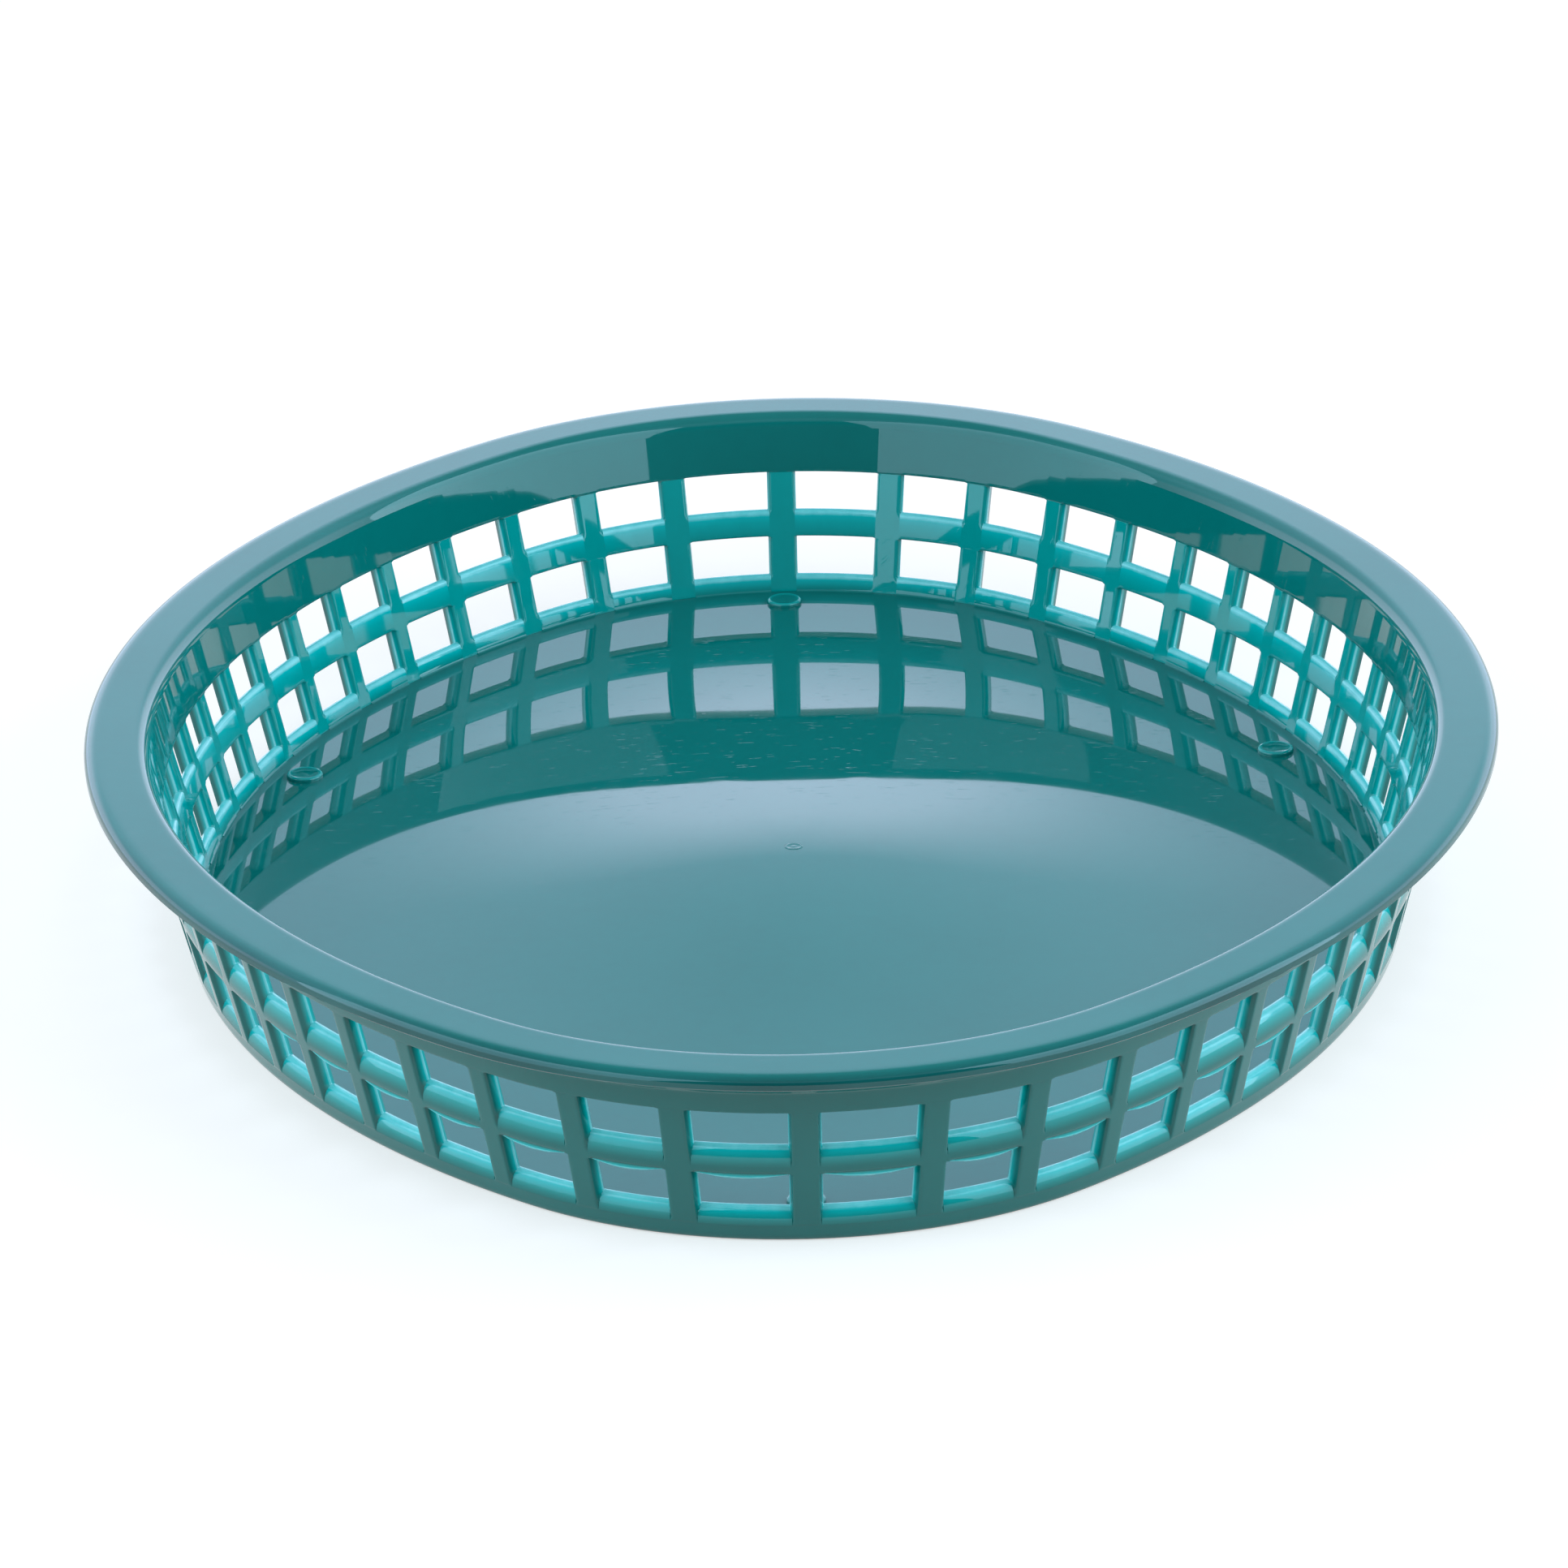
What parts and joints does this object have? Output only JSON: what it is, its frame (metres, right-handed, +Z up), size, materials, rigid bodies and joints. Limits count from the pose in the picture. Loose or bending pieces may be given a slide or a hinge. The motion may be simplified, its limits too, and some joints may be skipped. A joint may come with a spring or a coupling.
{
  "type": "platter basket",
  "caption": "Oval openwork serving basket in tinted plastic, with a flat floor, two rows of windows in the wall and a broad flat rim.",
  "frame": {"origin": "centre of the oval, on the table that the basket stands on", "axes": "+X across the width, +Y along the length, +Z up"},
  "size_m": [0.241, 0.324, 0.0351],
  "materials": {
    "tinted_plastic": "glossy tinted plastic, slightly translucent at thin edges"
  },
  "bodies": {
    "root": {"base_plate": "tinted_plastic", "bottom_hoop": "tinted_plastic", "middle_hoop": "tinted_plastic", "top_band": "tinted_plastic", "rim_flange": "tinted_plastic", "rib_01": "tinted_plastic", "rib_02": "tinted_plastic", "rib_03": "tinted_plastic", "rib_04": "tinted_plastic", "rib_05": "tinted_plastic", "rib_06": "tinted_plastic", "rib_07": "tinted_plastic", "rib_08": "tinted_plastic", "rib_09": "tinted_plastic", "rib_10": "tinted_plastic", "rib_11": "tinted_plastic", "rib_12": "tinted_plastic", "rib_13": "tinted_plastic", "rib_14": "tinted_plastic", "rib_15": "tinted_plastic", "rib_16": "tinted_plastic", "rib_17": "tinted_plastic", "rib_18": "tinted_plastic", "rib_19": "tinted_plastic", "rib_20": "tinted_plastic", "rib_21": "tinted_plastic", "rib_22": "tinted_plastic", "rib_23": "tinted_plastic", "rib_24": "tinted_plastic", "rib_25": "tinted_plastic", "rib_26": "tinted_plastic", "rib_27": "tinted_plastic", "rib_28": "tinted_plastic", "rib_29": "tinted_plastic", "rib_30": "tinted_plastic", "rib_31": "tinted_plastic", "rib_32": "tinted_plastic", "rib_33": "tinted_plastic", "rib_34": "tinted_plastic", "rib_35": "tinted_plastic", "rib_36": "tinted_plastic", "rib_37": "tinted_plastic", "rib_38": "tinted_plastic", "rib_39": "tinted_plastic", "rib_40": "tinted_plastic", "rib_41": "tinted_plastic", "rib_42": "tinted_plastic", "rib_43": "tinted_plastic", "rib_44": "tinted_plastic", "rib_45": "tinted_plastic", "rib_46": "tinted_plastic", "rib_47": "tinted_plastic", "rib_48": "tinted_plastic", "rib_49": "tinted_plastic", "rib_50": "tinted_plastic", "rib_51": "tinted_plastic", "rib_52": "tinted_plastic"}
  },
  "joints": []
}
